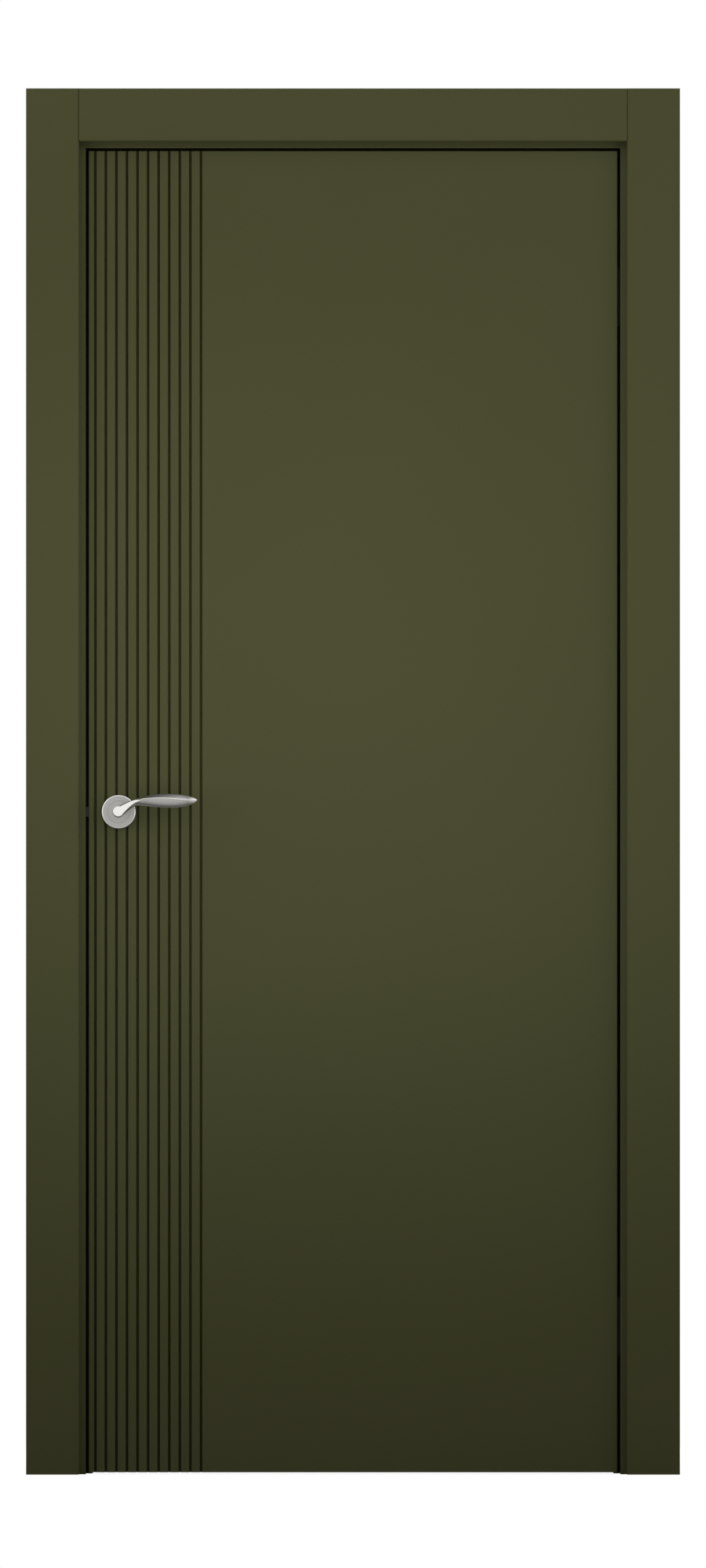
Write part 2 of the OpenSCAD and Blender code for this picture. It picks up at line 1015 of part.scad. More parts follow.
module lever_blade() {
    rings = [
        for (i = [0:lever_steps])
            let (t = tip_end * sin(90 * pow(i / lever_steps, 0.85)))
            let (top = edge(top_neck, top_blade, t), low = edge(low_neck, low_blade, t))
            let (mid = (top + low) / 2, up = (top - low) / 2)
            for (p = section(ridge_place(t, top, low), t))
                let (q = mid + up * p[0])
                [q[0], q[1], half_depth(t) * p[1]]
    ];
    sides = [
        for (i = [0:lever_steps - 1], j = [0:section_n - 1])
            let (a = i * section_n + j, b = i * section_n + (j + 1) % section_n)
            [a, b, b + section_n, a + section_n]
    ];
    root_cap = [[for (j = [0:section_n - 1]) section_n - 1 - j]];
    tip_cap = [[for (j = [0:section_n - 1]) lever_steps * section_n + j]];
    polyhedron(rings, concat(sides, root_cap, tip_cap));
}

// Shank that ends in the root's flat face, with a round edge
module lever_shank() {
    face = lever_standoff + neck_r + root_proud;
    rotate_extrude() {
        square([root_r, face - root_edge_r]);
        square([root_r - root_edge_r, face]);
        translate([root_r - root_edge_r, face - root_edge_r])
            circle(root_edge_r);
    }
}

module lever() {
    color(steel)
        difference() {
            union() {
                lever_shank();
                translate([0, 0, rose_t - collar_t])
                    cylinder(h = collar_t, d = collar_d);
                translate([0, 0, lever_standoff])
                    lever_blade();
            }
            translate([0, 0, spindle_hold / 2])
                cube([spindle_w + slack, spindle_w + slack, spindle_hold + slack], center = true);
        }
}

module front_lever() {
    on_front()
        lever();
}

module back_lever() {
    on_back()
        lever();
}

leaf();
lock_jamb();
hinge_jamb();
head_jamb();
lock_stop();
hinge_stop();
head_stop();
front_lock_architrave();
front_hinge_architrave();
front_head_architrave();
back_lock_architrave();
back_hinge_architrave();
back_head_architrave();
lock_seal();
hinge_seal();
head_seal();
upper_jamb_cup();
lower_jamb_cup();
upper_leaf_cup();
lower_leaf_cup();
upper_hinge_arm();
lower_hinge_arm();
upper_jamb_pin();
lower_jamb_pin();
upper_leaf_pin();
lower_leaf_pin();
jamb_cup_screws();
leaf_cup_screws();
latch_case();
latch_cover();
latch_faceplate();
faceplate_screws();
latch_follower();
latch_bolt();
strike_plate();
strike_screws();
front_rose();
back_rose();
front_rose_base();
back_rose_base();
rose_bolts();
spindle();
front_lever();
back_lever();
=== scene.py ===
import json
import math
import bmesh
import bpy
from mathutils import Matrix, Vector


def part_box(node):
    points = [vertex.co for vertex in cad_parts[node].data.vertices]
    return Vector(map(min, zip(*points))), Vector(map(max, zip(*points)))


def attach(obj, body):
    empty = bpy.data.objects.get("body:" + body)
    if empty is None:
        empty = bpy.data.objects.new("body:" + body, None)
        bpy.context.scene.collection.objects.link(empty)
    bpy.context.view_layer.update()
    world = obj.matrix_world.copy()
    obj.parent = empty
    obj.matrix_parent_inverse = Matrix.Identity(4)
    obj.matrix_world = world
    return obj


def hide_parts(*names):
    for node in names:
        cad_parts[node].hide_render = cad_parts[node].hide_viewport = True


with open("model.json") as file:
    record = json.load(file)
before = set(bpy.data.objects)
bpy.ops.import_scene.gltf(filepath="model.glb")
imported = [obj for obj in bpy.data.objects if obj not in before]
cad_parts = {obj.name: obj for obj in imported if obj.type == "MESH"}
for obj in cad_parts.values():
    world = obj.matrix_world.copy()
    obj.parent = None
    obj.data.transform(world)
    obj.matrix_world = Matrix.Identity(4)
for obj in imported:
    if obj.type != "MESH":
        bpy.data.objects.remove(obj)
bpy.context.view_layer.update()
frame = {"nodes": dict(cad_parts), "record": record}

mm = 0.001
white = (1.0, 1.0, 1.0, 1.0)
noiseSpan = (0.3, 0.7)  # nearly all values of a noise texture lie between these
handleAxis = next(j["pos_m"] for j in frame["record"]["behaviour"]["joints"] if j["name"] == "handle_turn")
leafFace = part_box("leaf")[1][1]  # from the middle of the leaf to either face, in metres


def hexToLinear(code):
    # sRGB hex text to linear RGBA
    parts = [int(code[i:i + 2], 16) / 255 for i in (1, 3, 5)]
    return [c / 12.92 if c <= 0.04045 else ((c + 0.055) / 1.055) ** 2.4 for c in parts] + [1.0]


def addNode(tree, kind, inputs=None, stops=(), **options):
    # adds a node, sets or links its inputs, and gives a colour ramp its stops, each a place and a hex colour
    node = tree.nodes.new(kind)
    for name, value in options.items():
        setattr(node, name, value)
    for name, value in (inputs or {}).items():
        if isinstance(value, bpy.types.NodeSocket):
            tree.links.new(value, node.inputs[name])
        else:
            node.inputs[name].default_value = value
    if stops:
        elements = node.color_ramp.elements
        while len(elements) < len(stops):
            elements.new(0.5)
        for element, (place, colour) in zip(elements, stops):
            element.position = place
            element.color = hexToLinear(colour)
    return node


def newMaterial(name):
    material = bpy.data.materials.new(name)
    material.use_nodes = True
    material.node_tree.nodes.clear()
    return material, material.node_tree


def perMm(size):
    # texture scale for a pattern of this size in millimetres
    return 1 / (size * mm)


# enamel on the leaf, the frame and the architraves
enamel = {
    "colours": ("#47482C", "#4A4B2F"), "driftSpan": (0.35, 0.65),  # the two ends of a very faint drift
    "driftMm": 700, "peelMm": 5, "peelStrength": 0.04, "peelDepthMm": 0.4,
    "roughness": (0.50, 0.58), "specular": 0.12,
}


def oliveEnamel(s):
    # Sprayed satin enamel on fibreboard: an even olive with no grain, a soft sheen and a trace of orange peel
    material, tree = newMaterial("olive_enamel_sprayed")
    place = addNode(tree, "ShaderNodeTexCoord").outputs["Object"]
    drift = addNode(tree, "ShaderNodeTexNoise", {
        "Vector": place, "Scale": perMm(s["driftMm"]), "Detail": 2.0})
    ramp = addNode(tree, "ShaderNodeValToRGB", {"Fac": drift.outputs["Fac"]},
                   stops=list(zip(s["driftSpan"], s["colours"])))
    # orange peel is 1 to 2 mm on the real door and is drawn coarser to show at all
    peel = addNode(tree, "ShaderNodeTexNoise", {
        "Vector": place, "Scale": perMm(s["peelMm"]), "Detail": 1.0})
    bump = addNode(tree, "ShaderNodeBump", {
        "Height": peel.outputs["Fac"], "Strength": s["peelStrength"], "Distance": s["peelDepthMm"] * mm})
    sheen = addNode(tree, "ShaderNodeMapRange", {
        "Value": drift.outputs["Fac"], "From Min": noiseSpan[0], "From Max": noiseSpan[1],
        "To Min": s["roughness"][0], "To Max": s["roughness"][1]})
    shader = addNode(tree, "ShaderNodeBsdfPrincipled", {
        "Base Color": ramp.outputs["Color"], "Roughness": sheen.outputs["Result"],
        "Specular IOR Level": s["specular"], "Normal": bump.outputs["Normal"]})
    addNode(tree, "ShaderNodeOutputMaterial", {"Surface": shader.outputs["BSDF"]})
    return material


# nickel on the levers
brushedNickel = {
    "colour": "#F2F0EC", "roughness": (0.17, 0.23),
    "brushMm": (14, 0.5), "brushStrength": 0.06, "brushDepthMm": 0.05,  # streaks along and across the lever
}


def satinNickel(s):
    # Nickel-plated casting, brushed lengthwise by hand: a soft mirror with fine streaks along the lever
    material, tree = newMaterial("satin_nickel_brushed")
    place = addNode(tree, "ShaderNodeTexCoord").outputs["Object"]
    along, across = s["brushMm"]
    stretch = addNode(tree, "ShaderNodeMapping", {
        "Vector": place, "Scale": (perMm(along), perMm(across), perMm(across))})
    streak = addNode(tree, "ShaderNodeTexNoise", {
        "Vector": stretch.outputs["Vector"], "Scale": 1.0, "Detail": 3.0})
    rough = addNode(tree, "ShaderNodeMapRange", {
        "Value": streak.outputs["Fac"], "From Min": noiseSpan[0], "From Max": noiseSpan[1],
        "To Min": s["roughness"][0], "To Max": s["roughness"][1]})
    bump = addNode(tree, "ShaderNodeBump", {
        "Height": streak.outputs["Fac"], "Strength": s["brushStrength"], "Distance": s["brushDepthMm"] * mm})
    shader = addNode(tree, "ShaderNodeBsdfPrincipled", {
        "Base Color": hexToLinear(s["colour"]), "Metallic": 1.0,
        "Roughness": rough.outputs["Result"], "Normal": bump.outputs["Normal"]})
    addNode(tree, "ShaderNodeOutputMaterial", {"Surface": shader.outputs["BSDF"]})
    return material


# nickel on the roses and the levers' collars
latheNickel = {
    "colour": "#B9B8B4", "roughness": (0.36, 0.44), "rimHighlightColour": "#F2F1EE", "rimRoughness": 0.2,
    "rimHighlightMm": (23.8, 24.3),  # where the turned face gives way to the glossier rim, which is painted near-white as a highlight ring
    "ringMm": 0.9, "ringStrength": 0.10, "ringDepthMm": 0.05,
}


def turnedNickel(s):
    # Nickel-plated turned disc: fine rings left by the lathe spread the light into a soft grey; the face is
    # also painted a darker grey than the lever's nickel as painted shade, and the rim is painted near-white
    # as a highlight ring
    material, tree = newMaterial("satin_nickel_turned")
    place = addNode(tree, "ShaderNodeTexCoord").outputs["Object"]
    fromAxis = addNode(tree, "ShaderNodeVectorMath", {0: place, 1: handleAxis}, operation="SUBTRACT")
    flat = addNode(tree, "ShaderNodeVectorMath", {0: fromAxis.outputs["Vector"], 1: (1.0, 0.0, 1.0)},
                   operation="MULTIPLY")
    radius = addNode(tree, "ShaderNodeVectorMath", {0: flat.outputs["Vector"]}, operation="LENGTH")
    # lathe rings are about 0.1 mm apart and are drawn coarser to show
    rings = addNode(tree, "ShaderNodeTexNoise", {
        "W": radius.outputs["Value"], "Scale": perMm(s["ringMm"]), "Detail": 2.0}, noise_dimensions="1D")
    lathe = addNode(tree, "ShaderNodeMapRange", {
        "Value": rings.outputs["Fac"], "From Min": noiseSpan[0], "From Max": noiseSpan[1],
        "To Min": s["roughness"][0], "To Max": s["roughness"][1]})
    # rim band on the rose's edge: a painted highlight ring, near-white and glossier than the face
    rimHighlight = addNode(tree, "ShaderNodeMapRange", {
        "Value": radius.outputs["Value"], "From Min": s["rimHighlightMm"][0] * mm, "From Max": s["rimHighlightMm"][1] * mm})
    colour = addNode(tree, "ShaderNodeMix", {
        "Factor": rimHighlight.outputs["Result"], "A": hexToLinear(s["colour"]), "B": hexToLinear(s["rimHighlightColour"])},
        data_type="RGBA")
    rough = addNode(tree, "ShaderNodeMix", {
        "Factor": rimHighlight.outputs["Result"], "A": lathe.outputs["Result"], "B": s["rimRoughness"]})
    bump = addNode(tree, "ShaderNodeBump", {
        "Height": rings.outputs["Fac"], "Strength": s["ringStrength"], "Distance": s["ringDepthMm"] * mm})
    shader = addNode(tree, "ShaderNodeBsdfPrincipled", {
        "Base Color": colour.outputs["Result"], "Metallic": 1.0,
        "Roughness": rough.outputs["Result"], "Normal": bump.outputs["Normal"]})
    addNode(tree, "ShaderNodeOutputMaterial", {"Surface": shader.outputs["BSDF"]})
    return material


# zinc of the hinges, the latch's inside and the rose bases
zinc = {
    "colours": ("#262627", "#303031"), "cloudMm": 12, "roughness": (0.42, 0.52),
    "grainMm": 1.6, "grainStrength": 0.15, "grainDepthMm": 0.1,
}


def castZinc(s):
    # Die-cast zinc with a black plating, dark and dull; the black also serves as painted shade in the door's
    # gaps, so that a closed door shows no lit metal there
    material, tree = newMaterial("zinc_die_cast_black")
    place = addNode(tree, "ShaderNodeTexCoord").outputs["Object"]
    grain = addNode(tree, "ShaderNodeTexNoise", {
        "Vector": place, "Scale": perMm(s["grainMm"]), "Detail": 2.0})
    cloud = addNode(tree, "ShaderNodeTexNoise", {
        "Vector": place, "Scale": perMm(s["cloudMm"]), "Detail": 2.0})
    ramp = addNode(tree, "ShaderNodeValToRGB", {"Fac": cloud.outputs["Fac"]},
                   stops=list(zip(noiseSpan, s["colours"])))
    bump = addNode(tree, "ShaderNodeBump", {
        "Height": grain.outputs["Fac"], "Strength": s["grainStrength"], "Distance": s["grainDepthMm"] * mm})
    rough = addNode(tree, "ShaderNodeMapRange", {
        "Value": cloud.outputs["Fac"], "From Min": noiseSpan[0], "From Max": noiseSpan[1],
        "To Min": s["roughness"][0], "To Max": s["roughness"][1]})
    shader = addNode(tree, "ShaderNodeBsdfPrincipled", {
        "Base Color": ramp.outputs["Color"], "Metallic": 1.0,
        "Roughness": rough.outputs["Result"], "Normal": bump.outputs["Normal"]})
    addNode(tree, "ShaderNodeOutputMaterial", {"Surface": shader.outputs["BSDF"]})
    return material


# steel of pins, screws, plates, bolts and spindle
steel = {
    "colour": "#BFBFBD", "roughness": (0.26, 0.38),
    "lineMm": (9, 0.6), "lineStrength": 0.08, "lineDepthMm": 0.05,  # rolling lines, along and across
}


def platedSteel(s):
    # Rolled steel, zinc plated: brighter than the castings, with faint lines from rolling
    material, tree = newMaterial("steel_plated")
    place = addNode(tree, "ShaderNodeTexCoord").outputs["Object"]
    along, across = s["lineMm"]
    stretch = addNode(tree, "ShaderNodeMapping", {
        "Vector": place, "Scale": (perMm(across), perMm(across), perMm(along))})
    lines = addNode(tree, "ShaderNodeTexNoise", {
        "Vector": stretch.outputs["Vector"], "Scale": 1.0, "Detail": 3.0})
    rough = addNode(tree, "ShaderNodeMapRange", {
        "Value": lines.outputs["Fac"], "From Min": noiseSpan[0], "From Max": noiseSpan[1],
        "To Min": s["roughness"][0], "To Max": s["roughness"][1]})
    bump = addNode(tree, "ShaderNodeBump", {
        "Height": lines.outputs["Fac"], "Strength": s["lineStrength"], "Distance": s["lineDepthMm"] * mm})
    shader = addNode(tree, "ShaderNodeBsdfPrincipled", {
        "Base Color": hexToLinear(s["colour"]), "Metallic": 1.0,
        "Roughness": rough.outputs["Result"], "Normal": bump.outputs["Normal"]})
    addNode(tree, "ShaderNodeOutputMaterial", {"Surface": shader.outputs["BSDF"]})
    return material


# rubber of the seals
rubber = {
    "colours": ("#2C2C24", "#36362C"), "roughness": 0.75, "specular": 0.35,
    "grainMm": 1.2, "grainStrength": 0.15, "grainDepthMm": 0.1,
}


def sealRubber(s):
    # Extruded rubber, coloured to suit the enamel: dark and matt, with a fine dusty grain
    material, tree = newMaterial("seal_rubber_extruded")
    place = addNode(tree, "ShaderNodeTexCoord").outputs["Object"]
    grain = addNode(tree, "ShaderNodeTexNoise", {
        "Vector": place, "Scale": perMm(s["grainMm"]), "Detail": 2.0})
    ramp = addNode(tree, "ShaderNodeValToRGB", {"Fac": grain.outputs["Fac"]},
                   stops=list(zip(noiseSpan, s["colours"])))
    bump = addNode(tree, "ShaderNodeBump", {
        "Height": grain.outputs["Fac"], "Strength": s["grainStrength"], "Distance": s["grainDepthMm"] * mm})
    shader = addNode(tree, "ShaderNodeBsdfPrincipled", {
        "Base Color": ramp.outputs["Color"], "Roughness": s["roughness"],
        "Specular IOR Level": s["specular"], "Normal": bump.outputs["Normal"]})
    addNode(tree, "ShaderNodeOutputMaterial", {"Surface": shader.outputs["BSDF"]})
    return material


# nylon of the latch bolt
nylon = {
    "colours": ("#1E1E1F", "#272728"), "roughness": 0.42, "ior": 1.53,
    "grainMm": 0.8, "grainStrength": 0.10, "grainDepthMm": 0.05,
}


def mouldedNylon(s):
    # Moulded black nylon: dark grey with the soft gloss and faint texture of a mould; the dark colour also
    # serves as painted shade in the latch-side gap, so that no lit bolt shows there
    material, tree = newMaterial("nylon_moulded_black")
    place = addNode(tree, "ShaderNodeTexCoord").outputs["Object"]
    grain = addNode(tree, "ShaderNodeTexNoise", {
        "Vector": place, "Scale": perMm(s["grainMm"]), "Detail": 2.0})
    ramp = addNode(tree, "ShaderNodeValToRGB", {"Fac": grain.outputs["Fac"]},
                   stops=list(zip(noiseSpan, s["colours"])))
    bump = addNode(tree, "ShaderNodeBump", {
        "Height": grain.outputs["Fac"], "Strength": s["grainStrength"], "Distance": s["grainDepthMm"] * mm})
    shader = addNode(tree, "ShaderNodeBsdfPrincipled", {
        "Base Color": ramp.outputs["Color"], "Roughness": s["roughness"],
        "IOR": s["ior"], "Normal": bump.outputs["Normal"]})
    addNode(tree, "ShaderNodeOutputMaterial", {"Surface": shader.outputs["BSDF"]})
    return material


slotMaterials = {
    "olive_enamel": oliveEnamel(enamel),
    "satin_nickel": satinNickel(brushedNickel),
    "zinc_casting": castZinc(zinc),
    "steel": platedSteel(steel),
    "seal_rubber": sealRubber(rubber),
    "black_nylon": mouldedNylon(nylon),
}
turned = turnedNickel(latheNickel)
for part in frame["record"]["subparts"]:
    mesh = frame["nodes"][part["node"]].data
    finish = turned if part["node"].endswith("_rose") else slotMaterials[part["material_slot"]]
    mesh.materials.clear()
    mesh.materials.append(finish)
print("finishes on", len(frame["nodes"]), "CAD nodes")


# levers: the CAD levers' curves, drawn finer; the neck is flatter, the blade's upper edge stands further out
# and the tip is thinner. Millimetres from the handle axis and the leaf's face; t runs from 0 at the axis to 1
lever = {
    "standoff": 50.0,  # from the leaf's face to the lever's middle
    # outline, seen from the front
    "startR": 7.3, "neckTurn": 27.6, "neckShare": 0.28,
    "topJoin": (28.0, 20.3), "lowJoin": (31.0, 8.8), "tip": (120.0, 17.8),
    "neckTop": ((8.0, 12.6), (18.0, 16.6)), "neckLow": ((9.5, -5.8), (20.0, 11.0)),
    # pulls of the blade's curves at the join and at the tip: a share of the blade's length and a rise
    "bladeTop": ((0.24, 8.7), (0.19, 13.2)), "bladeLow": ((0.34, -2.3), (0.15, -17.8)),
    # thickness: where the neck's turns into the blade's, then the taper's start, length and power
    "neckR": 6.25, "bladeDepth": 12.0, "depthBlend": (0.1, 0.45), "taper": (0.5, 0.51, 2.6),
    "tipThin": 0.6, "tipBlend": (0.84, 0.98),
    # ridge on the blade, seen from the front, and how it climbs across the neck
    "ridge": ((28.0, 19.9), (63.9, 21.3), (120.0, 17.6)), "ridgeClimb": (1.7, 7.5),
    "ridgeLimit": 0.9, "ridgeBlend": 0.05, "ridgeSoft": 0.025, "leastHalf": 0.01,
    # section on the neck and on the blade: depth at the lower and the upper edge, and the flanks' powers
    "sectionBlend": (0.18, 0.36), "lowEdge": (0.4, -0.15), "highEdge": (-0.05, 0.25),
    "sidePower": (0.8, 0.5), "facePower": (0.5, 0.8), "faceFlat": 19.0,
    # points around a section: close near the edges and the ridge
    "sideShares": (0, 0.01, 0.03, 0.06, 0.1, 0.16, 0.24, 0.34, 0.46, 0.6, 0.74, 0.85, 0.92, 0.96, 0.985, 1),
    "faceShares": (0.015, 0.04, 0.08, 0.15, 0.25, 0.36, 0.48, 0.6,
                   0.71, 0.8, 0.87, 0.92, 0.955, 0.98, 0.993, 1),
    "backSteps": 30, "steps": 110, "stepPower": 0.85, "tipEnd": 0.992,
    # hub with its square socket, collar, and the root's flat face, which sits a little high
    "hubR": 8.4, "hubGap": 0.1, "socketHalf": 4.15, "socketDepth": 25.15,
    "roseT": 8.0, "collarR": 16.7, "collarT": 2.5, "collarEdge": 0.15,
    "rootR": 8.5, "rootEdgeR": 2.0, "rootRise": 1.1, "rootProud": 0.02, "rimStep": 0.1, "capR": 0.5,
    "sides": 72, "edgeSteps": 12, "sharpAngle": 40,
}


def bezier(points, t):
    share = ((1 - t) ** 3, 3 * t * (1 - t) ** 2, 3 * t * t * (1 - t), t ** 3)
    return [sum(k * p[axis] for k, p in zip(share, points)) for axis in (0, 1)]


def smooth(a, b, t):
    u = min(1.0, max(0.0, (t - a) / (b - a)))
    return u * u * (3 - 2 * u)


def between(ends, share):
    return ends[0] + (ends[1] - ends[0]) * share


def leverEdges(s, t):
    # upper and lower edge of the lever at t
    turn = math.radians(s["neckTurn"])
    start = (-s["startR"] * math.sin(turn), s["startR"] * math.cos(turn))
    tip, length = s["tip"], s["tip"][0] - s["topJoin"][0]
    edges = []
    for sign, join, neck, blade in ((1, s["topJoin"], s["neckTop"], s["bladeTop"]),
                                    (-1, s["lowJoin"], s["neckLow"], s["bladeLow"])):
        if t < s["neckShare"]:
            edges.append(bezier([(sign * start[0], sign * start[1]), *neck, join], t / s["neckShare"]))
            continue
        (leaveShare, leaveRise), (arriveShare, arriveRise) = blade
        leave = (join[0] + leaveShare * length, join[1] + leaveRise)
        arrive = (tip[0] - arriveShare * length, tip[1] + arriveRise)
        edges.append(bezier([join, leave, arrive, tip], (t - s["neckShare"]) / (1 - s["neckShare"])))
    return edges


def halfDepth(s, t):
    # half the lever's thickness at t
    full = between((s["neckR"], s["bladeDepth"] / 2), smooth(*s["depthBlend"], t))
    start, length, power = s["taper"]
    tapered = full * math.sqrt(1 - (max(0.0, t - start) / length) ** power)
    return tapered * (1 - s["tipThin"] * smooth(*s["tipBlend"], t))


def ridgePlace(s, t, top, low):
    # the ridge's place, from -1 at the lower edge to 1 at the upper: it starts low at the root,
    # climbs across the neck and then follows the blade
    middle, half = (top[1] + low[1]) / 2, (top[1] - low[1]) / 2
    (x0, z0), (x1, z1), (x2, z2) = s["ridge"]
    x = (top[0] + low[0]) / 2
    z = between((z0, z1), smooth(x0, x1, x)) if x < x1 else between((z1, z2), smooth(x1, x2, x))
    limit, blend = s["ridgeLimit"], s["ridgeBlend"]
    onBlade = min(limit, max(-limit, (z - middle) / max(half, s["leastHalf"])))
    first, second = s["ridgeClimb"]
    onNeck = -limit + first * t + second * t * t
    return -blend * math.log(math.exp(-onNeck / blend) + math.exp(-onBlade / blend))


def sectionDepth(s, u, ridge, t, front):
    # front: on the neck a bevel up to the ridge and a flat face above it, on the blade a round and a slope
    # back: round
    slope = smooth(*s["sectionBlend"], t)
    low, high = between(s["lowEdge"], slope), between(s["highEdge"], slope)
    if not front:
        return between((low, high), (1 + u) / 2) - (1 + (low + high) / 2) * math.sqrt(1 - u * u)
    f, v = max(0.0, (u + 1) / (ridge + 1)), (u - ridge) / (1 - ridge)
    side = between((low, 1), f ** between(s["sidePower"], slope))
    bend = math.copysign(abs(v) ** (1 + s["faceFlat"] * (1 - slope) ** 2), v)
    face = between((high, 1), max(0.0, 1 - bend) ** between(s["facePower"], slope))
    least, soft = min(side, face), s["ridgeSoft"]
    return least - soft * math.log(math.exp((least - side) / soft) + math.exp((least - face) / soft))


def leverRing(s, t):
    # one section: from the lower edge to the ridge, on to the upper edge, then around the back
    top, low = leverEdges(s, t)
    ridge, depth = ridgePlace(s, t, top, low), halfDepth(s, t)
    heights = [between((-1, ridge), share) for share in s["sideShares"]]
    heights += [between((ridge, 1), share) for share in s["faceShares"]]
    section = [(u, sectionDepth(s, u, ridge, t, True)) for u in heights]
    for k in range(1, s["backSteps"]):
        u = math.cos(math.pi * k / s["backSteps"])
        section.append((u, sectionDepth(s, u, ridge, t, False)))
    ring = []
    for u, out in section:
        x, z = [between((low[axis], top[axis]), (1 + u) / 2) for axis in (0, 1)]
        ring.append((x, z, s["standoff"] + depth * out))
    return ring


def shankProfile(s):
    # radius, distance from the leaf and rise, along the hub and the collar and then along the shank
    inner, outer, edge = s["roseT"] - s["collarT"], s["roseT"], s["collarEdge"]
    collar = [(s["hubR"], s["hubGap"], 0), (s["hubR"], inner, 0), (s["collarR"], inner, 0),
              (s["collarR"], outer - edge, 0), (s["collarR"] - edge, outer, 0), (s["rootR"], outer, 0)]
    face, edgeR, rise = s["standoff"] + s["neckR"] + s["rootProud"], s["rootEdgeR"], s["rootRise"]
    flat = s["rootR"] - rise - s["rimStep"]
    shank = []
    for k in range(s["edgeSteps"] + 1):
        a = math.pi / 2 * k / s["edgeSteps"]
        radius = between((flat, s["rootR"]), math.cos(a))
        shank.append((radius, face - edgeR + edgeR * math.sin(a), rise * (1 - math.cos(a))))
    shank += [(flat - s["rimStep"], face, rise), (s["capR"], face, rise)]
    return collar, shank


def buildLever(name, s, side):
    # side is -1 on the front, where the leaf opens to, and 1 on the back
    bm = bmesh.new()

    def vertex(dx, dz, out):
        return bm.verts.new((handleAxis[0] + dx * mm, side * (leafFace + out * mm), handleAxis[2] + dz * mm))

    rings = []
    for i in range(s["steps"] + 1):
        t = s["tipEnd"] * math.sin(math.pi / 2 * (i / s["steps"]) ** s["stepPower"])
        rings.append([vertex(*p) for p in leverRing(s, t)])
    collar, shank = shankProfile(s)
    around = [2 * math.pi * j / s["sides"] for j in range(s["sides"])]
    reach = [s["socketHalf"] / max(abs(math.cos(a)), abs(math.sin(a))) for a in around]
    turns = []
    for out in (s["socketDepth"], s["hubGap"]):
        turns.append([vertex(r * math.cos(a), r * math.sin(a), out) for r, a in zip(reach, around)])
    for radius, out, rise in collar + shank:
        turns.append([vertex(radius * math.cos(a), radius * math.sin(a) + rise, out) for a in around])
    collarEnd = len(turns) - len(shank) - 1
    for ends in (rings[0], rings[-1], turns[0], turns[-1]):
        bm.faces.new(ends)
    for loops in (rings, turns):
        for i, (a, b) in enumerate(zip(loops, loops[1:])):
            n = len(a)
            for j in range(n):
                strip = bm.faces.new((a[j], a[(j + 1) % n], b[(j + 1) % n], b[j]))
                strip.material_index = 1 if loops is turns and i < collarEnd else 0
    bmesh.ops.recalc_face_normals(bm, faces=bm.faces)
    mesh = bpy.data.meshes.new(name)
    bm.to_mesh(mesh)
    bm.free()
    mesh.shade_smooth()
    mesh.set_sharp_from_angle(angle=math.radians(s["sharpAngle"]))
    piece = bpy.data.objects.new(name, mesh)
    bpy.context.scene.collection.objects.link(piece)
    mesh.materials.append(slotMaterials["satin_nickel"])
    mesh.materials.append(turned)  # the collar is turned, as the rose is
    return piece


for name, node, side in (("front_lever_form", "front_lever", -1), ("back_lever_form", "back_lever", 1)):
    piece = buildLever(name, lever, side)
    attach(piece, "handle")
    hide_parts(node)
print("levers drawn")


# stage: a pale floor, soft lamps and a white studio behind, in metres
studio = {
    "floorX": (-1.6, 1.6), "floorY": (-0.4, 1.2),
    "paper": "#7E7E7C", "paperRoughness": 0.9, "paperSpecular": 0.1,
    "fibreMm": 3, "fibreStrength": 0.05, "fibreDepthMm": 0.1,
    "floorGlow": (0.88, 1.0), "floorFade": (0.5, 1.0),  # to the camera, near the door and far from it
    "floorInMetal": 0.03,
    "ambient": 0.09,  # world light on the object
    # what metal sees of the studio, from underfoot to overhead
    "room": [(0.0, "#444444"), (0.08, "#565656"), (0.14, "#727272"), (0.20, "#A4A4A4"), (0.28, "#B6B6B6"),
             (0.38, "#CECECE"), (0.45, "#F4F4F4"), (0.50, "#FFFFFF"), (0.82, "#FFFFFF"), (0.92, "#8A8A8A"),
             (1.0, "#4A4A4A")],
    "lamps": [
        # name, place, aim, width, height, watts
        ("left_softbox", (-1.70, -0.70, 1.40), (0.0, 0.0, 1.30), 1.2, 1.3, 15.9),
        ("right_softbox", (1.70, -0.70, 1.40), (0.0, 0.0, 1.30), 1.2, 1.3, 14.9),
        ("centre_softbox", (-0.03, -0.82, 1.12), (-0.03, 0.0, 1.12), 0.7, 0.9, 4.0),
        ("top_softbox", (-0.05, -0.60, 2.60), (0.0, 0.0, 1.40), 2.4, 0.8, 8.9),
        ("back_softbox", (0.0, 1.20, 1.30), (0.0, 0.0, 1.10), 2.4, 1.6, 18.0),
    ],
}


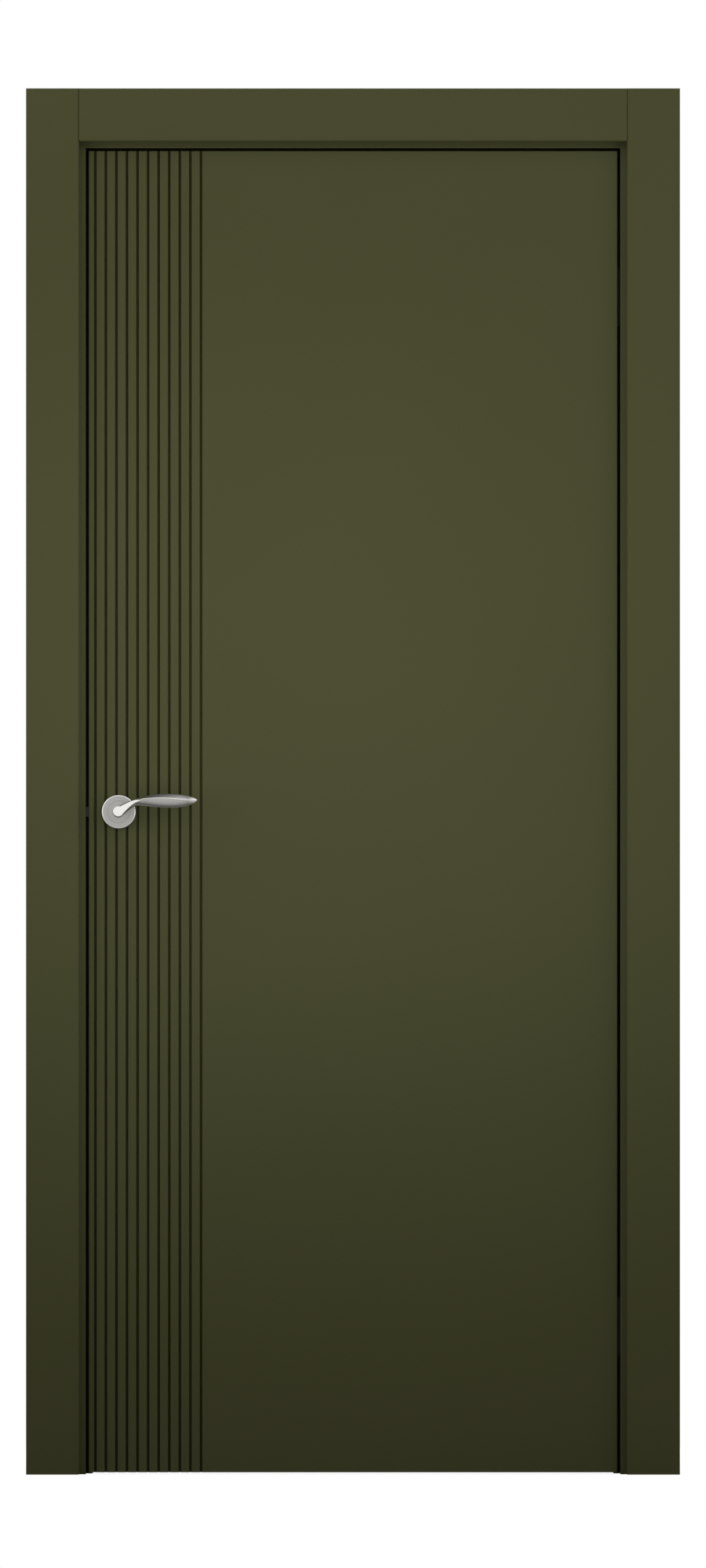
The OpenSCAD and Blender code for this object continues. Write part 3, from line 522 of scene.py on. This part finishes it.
def studioPaper(s):
    # Seamless studio paper: white to the camera, dim to the metal, and it still takes the door's shadow
    material, tree = newMaterial("studio_paper")
    place = addNode(tree, "ShaderNodeTexCoord").outputs["Object"]
    fibre = addNode(tree, "ShaderNodeTexNoise", {
        "Vector": place, "Scale": perMm(s["fibreMm"]), "Detail": 2.0})
    bump = addNode(tree, "ShaderNodeBump", {
        "Height": fibre.outputs["Fac"], "Strength": s["fibreStrength"], "Distance": s["fibreDepthMm"] * mm})
    light = addNode(tree, "ShaderNodeLightPath")
    mirrored = addNode(tree, "ShaderNodeMath", {
        0: light.outputs["Is Glossy Ray"], 1: light.outputs["Is Transmission Ray"]}, operation="MAXIMUM")
    dim = addNode(tree, "ShaderNodeMath", {
        0: mirrored.outputs[0], 1: s["floorInMetal"]}, operation="MULTIPLY")
    away = addNode(tree, "ShaderNodeVectorMath", {0: place}, operation="LENGTH")
    fade = addNode(tree, "ShaderNodeMapRange", {
        "Value": away.outputs["Value"], "From Min": s["floorFade"][0], "From Max": s["floorFade"][1],
        "To Min": s["floorGlow"][0], "To Max": s["floorGlow"][1]})
    glow = addNode(tree, "ShaderNodeMath", {
        0: light.outputs["Is Camera Ray"], 1: fade.outputs["Result"], 2: dim.outputs[0]},
        operation="MULTIPLY_ADD")
    shader = addNode(tree, "ShaderNodeBsdfPrincipled", {
        "Base Color": hexToLinear(s["paper"]), "Roughness": s["paperRoughness"],
        "Specular IOR Level": s["paperSpecular"], "Emission Color": white,
        "Emission Strength": glow.outputs[0], "Normal": bump.outputs["Normal"]})
    addNode(tree, "ShaderNodeOutputMaterial", {"Surface": shader.outputs["BSDF"]})
    return material


floorMesh = bpy.data.meshes.new("floor")
(left, right), (near, far) = studio["floorX"], studio["floorY"]
floorCorners = [(left, near, 0), (right, near, 0), (right, far, 0), (left, far, 0)]
floorMesh.from_pydata(floorCorners, [], [(0, 1, 2, 3)])
floorMesh.materials.append(studioPaper(studio))
floor = bpy.data.objects.new("floor", floorMesh)
bpy.context.scene.collection.objects.link(floor)


def studioWorld(s):
    # white to the camera; metal sees a white studio that darkens overhead and underfoot
    world = bpy.data.worlds.new("studio")
    bpy.context.scene.world = world
    world.use_nodes = True
    tree = world.node_tree
    tree.nodes.clear()
    direction = addNode(tree, "ShaderNodeTexCoord").outputs["Generated"]
    height = addNode(tree, "ShaderNodeSeparateXYZ", {"Vector": direction})
    level = addNode(tree, "ShaderNodeMapRange", {
        "Value": height.outputs["Z"], "From Min": -1.0, "From Max": 1.0})
    ramp = addNode(tree, "ShaderNodeValToRGB", {"Fac": level.outputs["Result"]}, stops=s["room"])
    light = addNode(tree, "ShaderNodeLightPath")
    ambient = addNode(tree, "ShaderNodeBackground", {"Color": white, "Strength": s["ambient"]})
    room = addNode(tree, "ShaderNodeBackground", {"Color": ramp.outputs["Color"], "Strength": 1.0})
    backdrop = addNode(tree, "ShaderNodeBackground", {"Color": white, "Strength": 1.0})
    shiny = addNode(tree, "ShaderNodeMath", {
        0: light.outputs["Is Glossy Ray"], 1: light.outputs["Is Transmission Ray"]}, operation="MAXIMUM")
    onObject = addNode(tree, "ShaderNodeMixShader", {
        0: shiny.outputs[0], 1: ambient.outputs[0], 2: room.outputs[0]})
    seen = addNode(tree, "ShaderNodeMixShader", {
        0: light.outputs["Is Camera Ray"], 1: onObject.outputs[0], 2: backdrop.outputs[0]})
    addNode(tree, "ShaderNodeOutputWorld", {"Surface": seen.outputs[0]})


studioWorld(studio)
for name, place, aim, width, height, watts in studio["lamps"]:
    lamp = bpy.data.lights.new(name, "AREA")
    lamp.shape = "RECTANGLE"
    lamp.size, lamp.size_y, lamp.energy = width, height, watts
    holder = bpy.data.objects.new(name, lamp)
    bpy.context.scene.collection.objects.link(holder)
    holder.location = place
    holder.visible_camera = False
    holder.visible_glossy = False  # metal sees the studio, not the lamps
    toward = [b - a for a, b in zip(place, aim)]
    holder.rotation_euler = (math.atan2(math.hypot(toward[0], toward[1]), -toward[2]), 0.0,
                             math.atan2(-toward[0], toward[1]))
print("studio lit by", len(studio["lamps"]), "lamps")


# camera, level and square to the door; the frame's height is measured at planeY, in metres
view = {
    "distance": 30.0, "planeY": -0.030, "height": 1.0450, "frameHeight": 2.3728,
    "sensor": 36.0, "clipEnd": 100.0,
}
camera = bpy.data.cameras.new("camera")
camera.sensor_width = view["sensor"]
camera.lens = view["sensor"] * view["distance"] / view["frameHeight"]
camera.clip_end = view["clipEnd"]
cameraHolder = bpy.data.objects.new("camera", camera)
bpy.context.scene.collection.objects.link(cameraHolder)
cameraHolder.location = (0.0, view["planeY"] - view["distance"], view["height"])
cameraHolder.rotation_euler = (math.pi / 2, 0.0, 0.0)
bpy.context.scene.camera = cameraHolder
bpy.context.scene.view_settings.view_transform = "Standard"
